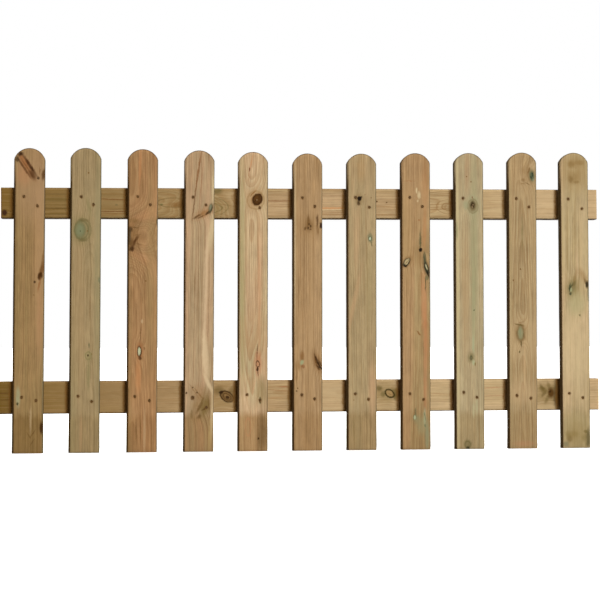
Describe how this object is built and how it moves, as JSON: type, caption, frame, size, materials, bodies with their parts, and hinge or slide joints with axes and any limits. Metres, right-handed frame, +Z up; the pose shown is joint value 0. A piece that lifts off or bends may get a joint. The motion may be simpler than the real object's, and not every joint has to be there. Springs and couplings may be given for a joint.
{
  "type": "picket fence panel",
  "caption": "Wooden picket fence panel: round-topped upright pales nailed across two horizontal rails whose ends run on to lap or meet the posts.",
  "frame": {"origin": "on the back face of the bottom rail, at mid-height, behind the middle of the middle pale", "axes": "+X along the panel from left to right as seen from the front, +Y from the front face to the back, where the posts are, +Z up"},
  "size_m": [1.818, 0.058, 0.9043],
  "materials": {
    "pale_timber": "planed softwood, pressure treated, with a faint green cast",
    "rail_timber": "planed softwood, pressure treated, a little browner than the pales"
  },
  "bodies": {
    "root": {"pale_01": "pale_timber", "pale_02": "pale_timber", "pale_03": "pale_timber", "pale_04": "pale_timber", "pale_05": "pale_timber", "pale_06": "pale_timber", "pale_07": "pale_timber", "pale_08": "pale_timber", "pale_09": "pale_timber", "pale_10": "pale_timber", "pale_11": "pale_timber", "bottom_rail": "rail_timber", "top_rail": "rail_timber"}
  },
  "joints": []
}
